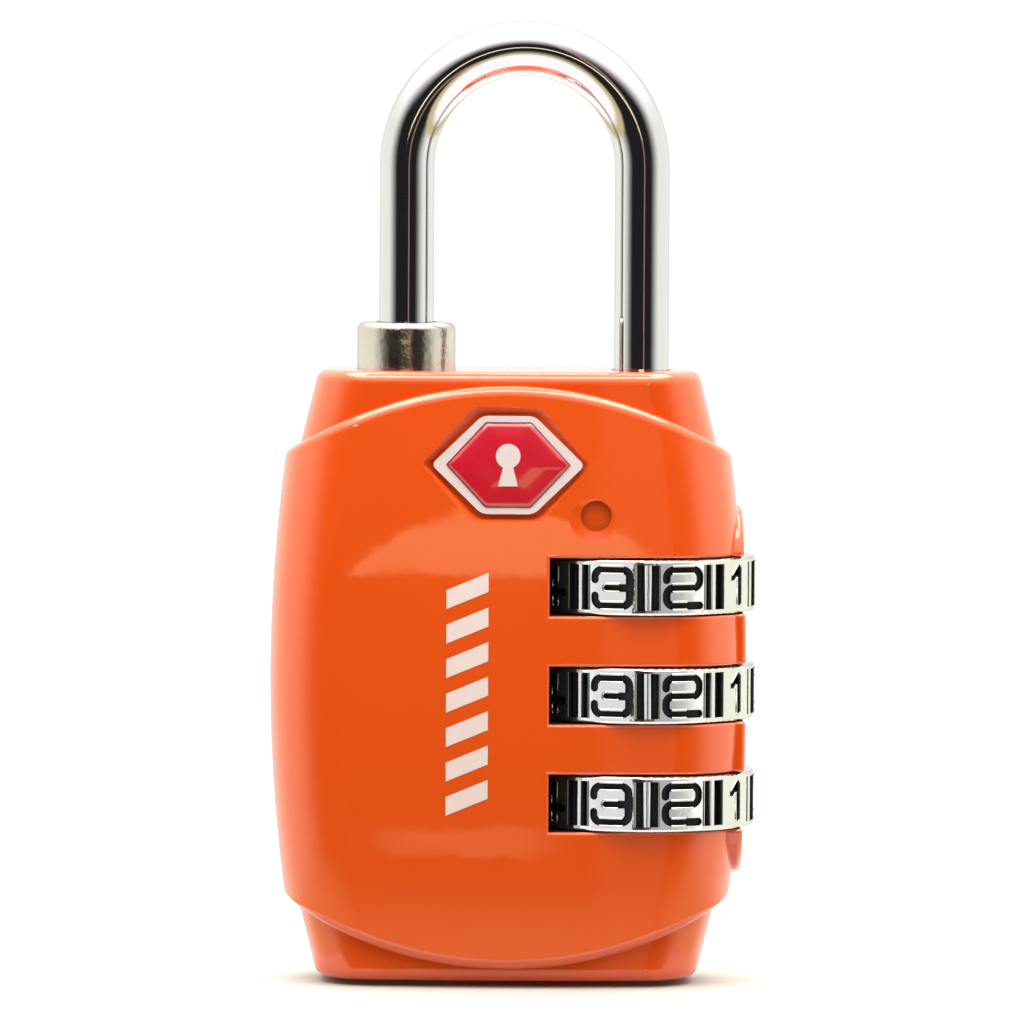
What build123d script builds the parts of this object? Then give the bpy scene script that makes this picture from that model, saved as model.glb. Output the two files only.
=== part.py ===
from build123d import *
from math import atan2, cos, radians, sin, sqrt
import os

# Luggage combination padlock with three number dials and a pass-key cylinder.
# Millimetres. +Z is up, -Y is the front, +X is the side where the dials stand out.
# Origin: middle of the casing's underside.

# Casing: two painted die-cast shells that meet on the plane Y = 0.
CASE_HEIGHT = 38.7
CASE_HALF_WIDTH = 15.12
CASE_HALF_DEPTH = 7.15
BOW_RADIUS = 118.0        # front face, seen from above
CROWN_RADIUS = 150.0      # front face, seen from the side
SIDE_RADIUS = 104.0       # sides, seen from the front
BARREL_Z = 19.35          # middle of the raised barrel
BARREL_HALF_HEIGHT = 18.5
BARREL_END_RADIUS = 25.0
BARREL_LOFT_REACH = 20.0
BARREL_CORNER = 4.8
BARREL_EDGE = 0.7
BLOCK_HALF_WIDTH = 12.1   # tapered end blocks, at their outer ends
BLOCK_TAPER = 0.245       # half width gained per mm towards the barrel
BLOCK_HALF_DEPTH = 5.3
BLOCK_CORNER = 3.8
BLOCK_EDGE = 0.8
BLOCK_DEPTH_INSIDE = 7.7
PAD_CENTRE_Z = 18.35      # raised oval on the dial side
PAD_HALF_HEIGHT = 11.75
PAD_HALF_DEPTH = 4.0
PAD_FACE_X = 15.15
PAD_FACE_RADIUS = 300.0
PAD_EDGE = 0.35

# Shackle: the long leg carries the dials, the short leg ends in the collar.
SHACKLE_RADIUS = 1.75
LEG_X = 8.44
TOE_X = -6.55
SHACKLE_TOP = 60.9
LEG_BOTTOM = 6.9
TOE_BOTTOM = 38.9
TIP_CHAMFER = 0.3
FIN_REACH = 2.7
FIN_WIDTH = 1.0
FIN_HEIGHT = 1.4
FIN_BELOW_DIAL = 2.6

# Dials and clutch rings, on the long leg.
DIAL_PITCH = 6.85
DIAL_ZS = (25.2, 25.2 - DIAL_PITCH, 25.2 - 2 * DIAL_PITCH)
DIAL_RADIUS = 7.35
DIAL_THICKNESS = 3.5
DIAL_EDGE = 0.15
DIGITS = 10
ZERO_ANGLE = 93.3         # where the 0 faces, in degrees from the front towards +X
RIB_WIDTH = 0.72
VALLEY_WIDTH = 0.42
VALLEY_DEPTH = 0.45
VALLEY_HEIGHT = 2.86
RIB_DROP = 0.06
DIGIT_HALF = 1.13         # half width and half height of a digit's centre line
DIGIT_STROKE = 0.5
DIGIT_FLOOR_RADIUS = 6.95
RING_RADIUS = 4.6
RING_BORE = 1.85
RING_THICKNESS = 3.4
TOOTH_REACH = 5.3
TOOTH_WIDTH = 1.0
TOOTH_CLEARANCE = 0.06
GATE_WIDTH = 1.3
GATE_REACH = 2.85

# Cavities for the dials and the long leg.
SLOT_RADIUS = 7.6
SLOT_HEIGHT = 3.65
WINDOW_LEFT = 2.65
WINDOW_EDGE = 0.2
FIN_BORE = 2.95
LEG_BORE = 1.83
BUSH_RADIUS = 2.6
BUSH_BORE = 1.8
BUSH_BOTTOM = 30.3
BUSH_TOP = 37.6
MOUTH_BORE = 1.95
SPRING_PLUG_RADIUS = 2.2
SPRING_PLUG_BOTTOM = 0.15
SPRING_PLUG_TOP = 1.5

# Collar and pass-key cylinder, on the short leg's axis.
COLLAR_RADIUS = 3.15
COLLAR_BORE = 3.2
COLLAR_TOP = 41.7
COLLAR_BOTTOM = 28.2
COLLAR_DROP = 3.0
COLLAR_EDGE = 0.5
TOE_SOCKET_RADIUS = 1.95
SKIRT_INSIDE = 2.3
SKIRT_CEILING = 38.0
LUG_REACH = 3.7
LUG_WIDTH = 1.2
LUG_BOTTOM = 29.0
LUG_TOP = 33.0
CAM_Z = 31.0
CAM_PIN_RADIUS = 0.5
CAM_SLOT_RADIUS = 0.65
CAM_STEPS = 12
SLEEVE_RADIUS = 4.1
SLEEVE_BORE = 2.95
SLEEVE_BOTTOM = 0.3
SLEEVE_TOP = 20.0
PLUG_RADIUS = 2.9
PLUG_BOTTOM = 0.35
HEAD_RADIUS = 3.4
HEAD_TOP = 1.2
HEAD_CLEARANCE = 0.05
SPIGOT_RADIUS = 2.2
SPIGOT_TOP = 34.7
NECK_RADIUS = 1.9
CLIP_BOTTOM = 20.25
CLIP_TOP = 20.85
CLIP_RADIUS = 3.0
KEYWAY_WIDTH = 1.3
KEYWAY_LENGTH = 4.6
KEYWAY_TOP = 17.0
WAFER_ZS = (4.0, 7.0, 10.0, 13.0)
WAFER_THICKNESS = 0.7
WAFER_WIDTH = 3.2
WAFER_RADIUS = 2.8
WAFER_WINDOW = (1.5, 3.4)
WAFER_SLOT_CLEARANCE = 0.05
WAFER_SPRING_X = 1.98

# Small pieces.
BADGE_Z = 32.9
BADGE_TURN = 2.6          # degrees clockwise, seen from the front
BADGE_HALF = (4.85, 3.1, 1.65)       # half width, half height, half length of the flats
BADGE_CORNERS = (0.35, 1.0)          # rounding at the points and at the flats' ends
BADGE_FIELD_HALF = (3.95, 2.7, 1.45)
FIELD_CORNERS = (0.1, 0.2)
RECESS_FLOOR_GROW = 0.18  # recess wider than the badge by this much at its floor
RECESS_MOUTH_GROW = 1.2   # and by this much at a level above the front
RECESS_MOUTH_LEVEL = 1.0
RECESS_DEPTH = 0.62
BADGE_THICKNESS = 0.5
FIELD_DEPTH = 0.2
ENAMEL_THICKNESS = 0.28
DIMPLE_X = 5.56
DIMPLE_Z = 29.7
DIMPLE_RADIUS = 1.42
DIMPLE_DEPTH = 0.2
DIMPLE_WELL_RADIUS = 0.97
DIMPLE_WELL_DEPTH = 0.42
PIN_RADIUS = 0.7
PIN_HALF_LENGTH = 3.0
PIN_PLACES = ((1.0, 33.4), (1.2, 4.0), (12.3, 6.0), (12.3, 30.6), (-12.2, 31.0), (-12.6, 8.0))
DETENT_X = (0.25, 0.55)
DETENT_HALF_DEPTH = 1.6
DETENT_ZS = (8.5, 28.4)
DETENT_BUMP = 0.45
DETENT_BUMP_HEIGHT = 2.4

FAR = 20.0                # longer than any reach across the casing
GAP = 0.1                 # free play round a piece that is dropped into its pocket


def block(x_span, y_span, z_span):
    """Box between three pairs of limits."""
    size = (x_span[1] - x_span[0], y_span[1] - y_span[0], z_span[1] - z_span[0])
    middle = (sum(x_span) / 2, sum(y_span) / 2, sum(z_span) / 2)
    return Pos(*middle) * Box(*size)


def rod(x, radius, bottom, top):
    """Upright cylinder with its axis at X = x, Y = 0."""
    return Pos(x, 0, (bottom + top) / 2) * Cylinder(radius, top - bottom)


def front_plane(x, y, z):
    """Plane that faces the front, with its own x along +X and its own y along +Z."""
    return Plane(origin=(x, y, z), x_dir=(1, 0, 0), z_dir=(0, -1, 0))


def half_section(z, half_width, half_depth, corner):
    """Front half of a level section: bowed front, round corners, flat sides."""
    bow_y = BOW_RADIUS - half_depth
    corner_x = half_width - corner
    corner_y = bow_y - sqrt((BOW_RADIUS - corner) ** 2 - corner_x ** 2)
    grow = BOW_RADIUS / (BOW_RADIUS - corner)
    touch_x = corner_x * grow
    touch_y = bow_y + (corner_y - bow_y) * grow
    turn = atan2(touch_y - corner_y, touch_x - corner_x) / 2
    middle_x = corner_x + corner * cos(turn)
    middle_y = corner_y + corner * sin(turn)
    outline = Wire([
        ThreePointArc((-touch_x, touch_y), (0, -half_depth), (touch_x, touch_y)),
        ThreePointArc((touch_x, touch_y), (middle_x, middle_y), (half_width, corner_y)),
        Line((half_width, corner_y), (half_width, 0)),
        Line((half_width, 0), (-half_width, 0)),
        Line((-half_width, 0), (-half_width, corner_y)),
        ThreePointArc((-half_width, corner_y), (-middle_x, middle_y), (-touch_x, touch_y)),
    ])
    return Pos(0, 0, z) * Face(outline)


def barrel_half():
    """Front half of the raised barrel, cut by arcs at its top and bottom."""
    sections = []
    for offset in (-BARREL_LOFT_REACH, 0, BARREL_LOFT_REACH):
        width = CASE_HALF_WIDTH - offset ** 2 / (2 * SIDE_RADIUS)
        depth = CASE_HALF_DEPTH - offset ** 2 / (2 * CROWN_RADIUS)
        sections.append(half_section(BARREL_Z + offset, width, depth, BARREL_CORNER))
    skin = loft(sections)

    reach = 16.0
    apex = BARREL_HALF_HEIGHT
    shoulder = apex - BARREL_END_RADIUS + sqrt(BARREL_END_RADIUS ** 2 - reach ** 2)
    outline = Wire([
        ThreePointArc((reach, shoulder), (0, apex), (-reach, shoulder)),
        Line((-reach, shoulder), (-reach, -shoulder)),
        ThreePointArc((-reach, -shoulder), (0, -apex), (reach, -shoulder)),
        Line((reach, -shoulder), (reach, shoulder)),
    ])
    barrel = skin & extrude(front_plane(0, 0, BARREL_Z) * Face(outline), FAR)
    rim = [
        edge for edge in barrel.edges()
        if abs(edge.center().Z - BARREL_Z) > 13 and edge.center().Y < -0.01
    ]
    return fillet(rim, BARREL_EDGE)


def end_block_half(z_end, direction):
    """Front half of one tapered end block; direction points into the casing."""
    inside_width = BLOCK_HALF_WIDTH + BLOCK_TAPER * BLOCK_DEPTH_INSIDE
    z_inside = z_end + direction * BLOCK_DEPTH_INSIDE
    end = loft([
        half_section(z_end, BLOCK_HALF_WIDTH, BLOCK_HALF_DEPTH, BLOCK_CORNER),
        half_section(z_inside, inside_width, BLOCK_HALF_DEPTH, BLOCK_CORNER),
    ], ruled=True)
    rim = [
        edge for edge in end.edges()
        if abs(edge.center().Z - z_end) < 0.01 and edge.center().Y < -0.01
    ]
    return fillet(rim, BLOCK_EDGE)


def side_pad_half():
    """Front half of the raised oval round the windows on the dial side."""
    outline = Plane.YZ * SlotOverall(2 * PAD_HALF_HEIGHT, 2 * PAD_HALF_DEPTH, rotation=90)
    pad = Pos(11.0, 0, PAD_CENTRE_Z) * extrude(outline, 6.0)
    face_axis_x = PAD_FACE_X - PAD_FACE_RADIUS
    face = Pos(face_axis_x, 0, PAD_CENTRE_Z) * Rot(90, 0, 0) * Cylinder(PAD_FACE_RADIUS, FAR)
    pad = pad & face
    rim = [edge for edge in pad.edges() if edge.center().X > 14.5]
    pad = fillet(rim, PAD_EDGE)
    return pad & block((0, FAR), (-FAR, 0), (0, CASE_HEIGHT))


def dial_cavities():
    """Slots for the dials, the long leg's bore and the chambers for its fins."""
    cuts = []
    for z in DIAL_ZS:
        low, high = z - SLOT_HEIGHT / 2, z + SLOT_HEIGHT / 2
        cuts.append(rod(LEG_X, SLOT_RADIUS, low, high))
        cuts.append(block((WINDOW_LEFT, FAR), (-FAR, FAR), (low, high)))
    fin_chamber_bottom = DIAL_ZS[-1] - FIN_BELOW_DIAL - FIN_HEIGHT / 2 - GAP
    cuts.append(rod(LEG_X, FIN_BORE, fin_chamber_bottom, BUSH_BOTTOM))
    cuts.append(rod(LEG_X, LEG_BORE, SPRING_PLUG_TOP, fin_chamber_bottom))
    cuts.append(rod(LEG_X, SPRING_PLUG_RADIUS, -1, SPRING_PLUG_TOP))
    cuts.append(rod(LEG_X, BUSH_RADIUS, BUSH_BOTTOM, BUSH_TOP))
    cuts.append(rod(LEG_X, MOUTH_BORE, BUSH_TOP, CASE_HEIGHT + 1))
    cuts.append(block(
        (DETENT_X[0] - GAP, 1.2),
        (-DETENT_HALF_DEPTH - GAP, DETENT_HALF_DEPTH + GAP),
        (DETENT_ZS[0] - GAP, DETENT_ZS[1] + GAP),
    ))
    return cuts


def key_cavities():
    """Pocket for the key cylinder and the collar's bore above it."""
    return [
        rod(TOE_X, SLEEVE_RADIUS, -1, SLEEVE_TOP),
        rod(TOE_X, COLLAR_BORE, SLEEVE_TOP, CASE_HEIGHT + 1),
    ]


def lug_groove():
    """Groove in the back shell that keeps the collar from turning."""
    return block(
        (TOE_X - LUG_WIDTH / 2 - GAP, TOE_X + LUG_WIDTH / 2 + GAP),
        (0, LUG_REACH + GAP),
        (LUG_BOTTOM - COLLAR_DROP - 2 * GAP, LUG_TOP + 2 * GAP),
    )


def pin_rods(radius, half_length):
    """The dowels that line the two shells up, or the holes for them."""
    return [
        Pos(x, 0, z) * Rot(90, 0, 0) * Cylinder(radius, 2 * half_length)
        for x, z in PIN_PLACES
    ]


def hexagon(half, corners):
    """Long hexagon with level flats and a point at each side, its corners rounded."""
    width, height, flat = half
    face = make_face(Polyline(
        (-width, 0), (-flat, height), (flat, height),
        (width, 0), (flat, -height), (-flat, -height), close=True,
    ))
    points = [vertex for vertex in face.vertices() if abs(vertex.Y) < 0.01]
    face = fillet(points, corners[0])
    flat_ends = [vertex for vertex in face.vertices() if abs(vertex.Y) > height - 0.01]
    return fillet(flat_ends, corners[1])


def badge_plane(depth):
    """Plane that lies along the bowed front at the badge, at a depth below it."""
    rise = BADGE_Z - BARREL_Z
    surface_y = -CASE_HALF_DEPTH + rise ** 2 / (2 * CROWN_RADIUS)
    lean = rise / CROWN_RADIUS
    normal = Vector(0, -cos(lean), sin(lean))
    origin = Vector(0, surface_y, BADGE_Z) - normal * depth
    plane = Plane(origin=origin, x_dir=(1, 0, 0), z_dir=normal)
    return plane.rotated((0, 0, -BADGE_TURN))


def badge_recess():
    """Cutter for the badge's recess, with sloping sides."""
    floor_half = [size + RECESS_FLOOR_GROW for size in BADGE_HALF]
    mouth_half = [size + RECESS_MOUTH_GROW for size in BADGE_HALF]
    floor_face = badge_plane(RECESS_DEPTH) * hexagon(floor_half, BADGE_CORNERS)
    mouth_face = badge_plane(-RECESS_MOUTH_LEVEL) * hexagon(mouth_half, BADGE_CORNERS)
    return loft([floor_face, mouth_face], ruled=True)


def dimple():
    """Cutter for the round dimple beside the badge, with a flat well in its middle."""
    offset_z = DIMPLE_Z - BARREL_Z
    surface_y = -CASE_HALF_DEPTH + DIMPLE_X ** 2 / (2 * BOW_RADIUS) + offset_z ** 2 / (2 * CROWN_RADIUS)
    mouth = front_plane(DIMPLE_X, surface_y, DIMPLE_Z)
    dish_radius = (DIMPLE_RADIUS ** 2 + DIMPLE_DEPTH ** 2) / (2 * DIMPLE_DEPTH)
    dish = mouth * Pos(0, 0, dish_radius - DIMPLE_DEPTH) * Sphere(dish_radius)
    around = mouth * Cylinder(DIMPLE_RADIUS + 0.3, 2.0)
    well = mouth * Cylinder(DIMPLE_WELL_RADIUS, 2 * DIMPLE_WELL_DEPTH)
    return (dish & around) + well


def round_windows(back):
    """Soften the outer edges of the dial windows in the back half of the casing."""
    levels = [z + side * SLOT_HEIGHT / 2 for z in DIAL_ZS for side in (-1, 1)]

    def on_mouth(edge):
        centre = edge.center()
        box = edge.bounding_box()
        level = box.size.Z < 0.02 and min(abs(centre.Z - z) for z in levels) < 0.01
        upright = box.size.X < 0.02 and abs(centre.X - WINDOW_LEFT) < 0.02
        if level:
            return box.min.Y > 0.5 and (centre.X > 12 or centre.Y > 6.3)
        return upright and centre.Y > 6.8

    return fillet([edge for edge in back.edges() if on_mouth(edge)], WINDOW_EDGE)


def shells():
    """Front and back shell: mirror images, but for the badge side and the collar's groove."""
    half = barrel_half() + end_block_half(CASE_HEIGHT, -1) + end_block_half(0.0, 1) + side_pad_half()
    cavities = dial_cavities() + key_cavities() + pin_rods(PIN_RADIUS, PIN_HALF_LENGTH + GAP)
    back = round_windows(half.mirror(Plane.XZ) - cavities)
    front = back.mirror(Plane.XZ) - badge_recess() - dimple()
    return front, back - lug_groove()


def shackle():
    """Bent round bar with three fins on its long leg."""
    arch_radius = (LEG_X - TOE_X) / 2
    arch_z = SHACKLE_TOP - SHACKLE_RADIUS - arch_radius
    middle_x = (LEG_X + TOE_X) / 2
    path = Wire([
        Line((LEG_X, 0, LEG_BOTTOM), (LEG_X, 0, arch_z)),
        ThreePointArc((LEG_X, 0, arch_z), (middle_x, 0, arch_z + arch_radius), (TOE_X, 0, arch_z)),
        Line((TOE_X, 0, arch_z), (TOE_X, 0, TOE_BOTTOM)),
    ])
    bar = sweep(Plane(origin=(LEG_X, 0, LEG_BOTTOM)) * Circle(SHACKLE_RADIUS), path=path)
    tips = [edge for edge in bar.edges() if abs(edge.center().Z - LEG_BOTTOM) < 0.01]
    tips += [edge for edge in bar.edges() if abs(edge.center().Z - TOE_BOTTOM) < 0.01]
    bar = chamfer(tips, TIP_CHAMFER)
    for z in DIAL_ZS:
        fin_z = z - FIN_BELOW_DIAL
        bar = bar + block(
            (LEG_X - FIN_WIDTH / 2, LEG_X + FIN_WIDTH / 2),
            (0, FIN_REACH),
            (fin_z - FIN_HEIGHT / 2, fin_z + FIN_HEIGHT / 2),
        )
    return bar


def stroke(points, corner=0.45):
    """Round-ended pen stroke along points, as a face."""
    if len(points) == 2:
        line = Line(*points)
    else:
        line = FilletPolyline(*points, radius=corner)
    return Face(Wire(line.edges()).offset_2d(DIGIT_STROKE / 2, kind=Kind.ARC, side=Side.BOTH))


def digit_strokes(digit):
    """The strokes that make up one digit, centred on the origin."""
    a = DIGIT_HALF
    top_left, top_right = (-a, a), (a, a)
    low_left, low_right = (-a, -a), (a, -a)
    left, right = (-a, 0), (a, 0)
    tail_high, tail_low = (-a, 0.45 * a), (-a, -0.45 * a)
    strokes = {
        0: [(left, top_left, top_right, right), (left, low_left, low_right, right)],
        1: [((-0.55, 0.5), (0.1, a)), ((0.1, a), (0.1, -a))],
        2: [(tail_high, top_left, top_right, right, (0, 0)), ((0, 0), left, low_left, low_right)],
        3: [(tail_high, top_left, top_right, right), (right, low_right, low_left, tail_low),
            ((-0.35, 0), right)],
        4: [((0.4, a), (0.4, -a)), ((0.4, a), (-a, -0.4), (a, -0.4))],
        5: [(top_right, top_left, left), (left, right, low_right, low_left, tail_low)],
        6: [(top_right, top_left, left), (left, low_left, low_right, right, left)],
        7: [(top_left, top_right, (-0.2, -a))],
        8: [(left, top_left, top_right, right), (left, low_left, low_right, right), (left, right)],
        9: [(low_left, low_right, right), (right, top_right, top_left, left, right)],
    }
    return [stroke(points) for points in strokes[digit]]


def facet_plane(angle, radius, z):
    """Plane that faces outwards on a dial, angle in degrees from the front towards +X."""
    turn = radians(angle)
    out = Vector(sin(turn), -cos(turn), 0)
    origin = Vector(LEG_X, 0, z) + out * radius
    return Plane(origin=origin, x_dir=(cos(turn), sin(turn), 0), z_dir=out)


def digit_cuts(digit, angle, z):
    """Cutters for one engraved digit."""
    floor = facet_plane(angle, DIGIT_FLOOR_RADIUS, z)
    return [extrude(floor * face, 1.0) for face in digit_strokes(digit)]


def rib_cuts(angle, z):
    """Cutters for one rib: a pocket that leaves it standing, and a tooth space inside."""
    boundary = facet_plane(angle, DIAL_RADIUS, z)
    pocket = Box(RIB_WIDTH + 2 * VALLEY_WIDTH, VALLEY_HEIGHT, 2 * VALLEY_DEPTH)
    crest_depth = RIB_DROP + RIB_WIDTH / 2
    crest = Pos(0, 0, -crest_depth) * Rot(90, 0, 0) * Cylinder(RIB_WIDTH / 2, 2 * VALLEY_HEIGHT)
    stem = Pos(0, 0, -crest_depth - 0.5) * Box(RIB_WIDTH, 2 * VALLEY_HEIGHT, 1.0)
    tooth_space = Box(TOOTH_WIDTH + 2 * TOOTH_CLEARANCE, 2 * DIAL_THICKNESS, TOOTH_REACH)
    tooth_depth = DIAL_RADIUS - TOOTH_CLEARANCE - TOOTH_REACH / 2
    return [boundary * (pocket - (crest + stem)), boundary * Pos(0, 0, -tooth_depth) * tooth_space]


def dial(z):
    """Number dial: ten engraved digits with a rib between two valleys after each."""
    body = rod(LEG_X, DIAL_RADIUS, z - DIAL_THICKNESS / 2, z + DIAL_THICKNESS / 2)
    rims = [edge for edge in body.edges() if edge.geom_type == GeomType.CIRCLE]
    body = fillet(rims, DIAL_EDGE)
    body = body - rod(LEG_X, RING_RADIUS + TOOTH_CLEARANCE, z - DIAL_THICKNESS, z + DIAL_THICKNESS)
    cuts = []
    for digit in range(DIGITS):
        angle = ZERO_ANGLE - digit * 360 / DIGITS
        cuts += digit_cuts(digit, angle, z)
        cuts += rib_cuts(angle + 180 / DIGITS, z)
    return body - cuts


def clutch_ring(z):
    """Toothed ring inside a dial; its gate lets one fin of the long leg through."""
    low, high = z - RING_THICKNESS / 2, z + RING_THICKNESS / 2
    ring = rod(LEG_X, RING_RADIUS, low, high)
    for digit in range(DIGITS):
        angle = ZERO_ANGLE + (0.5 - digit) * 360 / DIGITS
        tooth = facet_plane(angle, TOOTH_REACH / 2, z) * Box(TOOTH_WIDTH, RING_THICKNESS, TOOTH_REACH)
        ring = ring + tooth
    gate = block((LEG_X - GATE_WIDTH / 2, LEG_X + GATE_WIDTH / 2), (0, GATE_REACH), (low - 1, high + 1))
    return ring - rod(LEG_X, RING_BORE, low - 1, high + 1) - gate


def coil_spring(x, wire_radius, mean_radius, bottom, top, pitch):
    """Upright compression spring between two levels."""
    height = top - bottom - 2 * wire_radius
    helix = Pos(x, 0, bottom + wire_radius) * Helix(pitch, height, mean_radius)
    start = Plane(origin=helix @ 0, z_dir=helix % 0)
    return sweep(start * Circle(wire_radius), path=helix, is_frenet=True)


def collar():
    """Sliding collar: socket for the shackle's toe on top, cam slots in its skirt."""
    body = rod(TOE_X, COLLAR_RADIUS, COLLAR_BOTTOM, COLLAR_TOP)
    rim = [edge for edge in body.edges() if edge.center().Z > COLLAR_TOP - 0.01]
    body = fillet(rim, COLLAR_EDGE)
    body = body - rod(TOE_X, TOE_SOCKET_RADIUS, TOE_BOTTOM - 0.05, COLLAR_TOP + 1)
    body = body - rod(TOE_X, SKIRT_INSIDE, COLLAR_BOTTOM - 1, SKIRT_CEILING)
    body = body + block(
        (TOE_X - LUG_WIDTH / 2, TOE_X + LUG_WIDTH / 2),
        (SKIRT_INSIDE + 0.2, LUG_REACH),
        (LUG_BOTTOM, LUG_TOP),
    )
    for step in range(CAM_STEPS + 1):
        turn = 90.0 * step / CAM_STEPS
        level = CAM_Z + COLLAR_DROP * step / CAM_STEPS
        crossing = Pos(TOE_X, 0, level) * Rot(0, 0, turn - 45.0) * Rot(0, 90, 0)
        body = body - crossing * Cylinder(CAM_SLOT_RADIUS, 2 * COLLAR_RADIUS + 0.05)
    return body


def key_plug():
    """Turning core of the pass-key cylinder, with its keyway and wafer slots."""
    plug = rod(TOE_X, PLUG_RADIUS, PLUG_BOTTOM, CLIP_BOTTOM)
    plug = plug + rod(TOE_X, HEAD_RADIUS, PLUG_BOTTOM, HEAD_TOP)
    plug = plug + rod(TOE_X, NECK_RADIUS, CLIP_BOTTOM, CLIP_TOP)
    plug = plug + rod(TOE_X, SPIGOT_RADIUS, CLIP_TOP, SPIGOT_TOP)
    keyway = extrude(SlotOverall(KEYWAY_LENGTH, KEYWAY_WIDTH, rotation=90), KEYWAY_TOP)
    plug = plug - Pos(TOE_X, 0, 0) * keyway
    for z in WAFER_ZS:
        half = WAFER_THICKNESS / 2 + WAFER_SLOT_CLEARANCE
        wide = WAFER_WIDTH / 2 + WAFER_SLOT_CLEARANCE
        plug = plug - block((TOE_X - wide, TOE_X + wide), (-FAR, FAR), (z - half, z + half))
        hole = Pos(TOE_X + WAFER_SPRING_X, 0, z) * Rot(90, 0, 0) * Cylinder(0.34, 2.4)
        plug = plug - hole
    pin_hole = Pos(TOE_X, 0, CAM_Z) * Rot(0, 0, -45) * Rot(0, 90, 0) * Cylinder(CAM_PIN_RADIUS, FAR)
    return plug - pin_hole


def wafers():
    """Thin plates that the pass key lifts, drawn in the key's position."""
    plates = []
    for z in WAFER_ZS:
        disc = rod(TOE_X, WAFER_RADIUS, z - WAFER_THICKNESS / 2, z + WAFER_THICKNESS / 2)
        strip = Pos(TOE_X, 0, z) * Box(WAFER_WIDTH, FAR, 2.0)
        window = Pos(TOE_X, 0, z) * Box(*WAFER_WINDOW, 2.0)
        plates.append((disc & strip) - window)
    return Compound(children=plates)


def wafer_springs():
    """One small coil spring beside each wafer."""
    springs = []
    for z in WAFER_ZS:
        coil = coil_spring(0, 0.07, 0.22, -1.1, 1.1, 0.45)
        springs.append(Pos(TOE_X + WAFER_SPRING_X, 0, z) * Rot(90, 0, 0) * coil)
    return Compound(children=springs)


def key_cylinder():
    """Fixed sleeve that the key plug turns in."""
    sleeve = rod(TOE_X, SLEEVE_RADIUS, SLEEVE_BOTTOM, SLEEVE_TOP)
    sleeve = sleeve - rod(TOE_X, SLEEVE_BORE, SLEEVE_BOTTOM - 1, SLEEVE_TOP + 1)
    return sleeve - rod(TOE_X, HEAD_RADIUS + HEAD_CLEARANCE, SLEEVE_BOTTOM - 1, HEAD_TOP + HEAD_CLEARANCE)


def plug_clip():
    """Open ring in the plug's neck that keeps the plug in its sleeve."""
    ring = rod(TOE_X, CLIP_RADIUS, CLIP_BOTTOM + 0.05, CLIP_TOP - 0.05)
    ring = ring - rod(TOE_X, NECK_RADIUS + 0.03, CLIP_BOTTOM - 1, CLIP_TOP + 1)
    mouth = block((TOE_X, TOE_X + FAR), (-1.2, 1.2), (CLIP_BOTTOM - 1, CLIP_TOP + 1))
    return ring - mouth


def cam_pin():
    """Cross pin of the key plug, with both ends in the collar's cam slots."""
    length = 2 * (COLLAR_RADIUS - 0.1)
    return Pos(TOE_X, 0, CAM_Z) * Rot(0, 0, -45) * Rot(0, 90, 0) * Cylinder(CAM_PIN_RADIUS, length)


def detent_spring():
    """Spring strip with one bump for each dial."""
    strip = block(DETENT_X, (-DETENT_HALF_DEPTH, DETENT_HALF_DEPTH), DETENT_ZS)
    for z in DIAL_ZS:
        bump = Pos(DETENT_X[1], 0, z) * Cylinder(DETENT_BUMP, DETENT_BUMP_HEIGHT)
        strip = strip + (bump & block((DETENT_X[0] + 0.05, FAR), (-1, 1), (0, CASE_HEIGHT)))
    return strip


def badge_plate():
    """Hexagonal plate with a shallow tray for the enamel."""
    floor = badge_plane(RECESS_DEPTH)
    tray = badge_plane(RECESS_DEPTH - BADGE_THICKNESS + FIELD_DEPTH)
    plate = extrude(floor * hexagon(BADGE_HALF, BADGE_CORNERS), BADGE_THICKNESS)
    return plate - extrude(tray * hexagon(BADGE_FIELD_HALF, FIELD_CORNERS), 1.0)


def badge_enamel():
    """Enamel field of the badge, slightly proud of the plate's rim."""
    tray = badge_plane(RECESS_DEPTH - BADGE_THICKNESS + FIELD_DEPTH)
    field = extrude(tray * hexagon(BADGE_FIELD_HALF, FIELD_CORNERS), ENAMEL_THICKNESS)
    top = badge_plane(RECESS_DEPTH - BADGE_THICKNESS + FIELD_DEPTH - ENAMEL_THICKNESS)
    face = field.faces().sort_by_distance(top.origin)[0]
    return chamfer(face.edges(), 0.07)


def heel_bush():
    """Guide bush round the long leg; it stops the top fin when the shackle is lifted."""
    bush = rod(LEG_X, BUSH_RADIUS, BUSH_BOTTOM, BUSH_TOP)
    return bush - rod(LEG_X, BUSH_BORE, BUSH_BOTTOM - 1, BUSH_TOP + 1)


def spring_plug():
    """Disc pressed into the underside, which the shackle spring stands on."""
    disc = rod(LEG_X, SPRING_PLUG_RADIUS, SPRING_PLUG_BOTTOM, SPRING_PLUG_TOP)
    edges = [edge for edge in disc.edges() if edge.center().Z < SPRING_PLUG_BOTTOM + 0.01]
    return chamfer(edges, 0.15)


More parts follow.
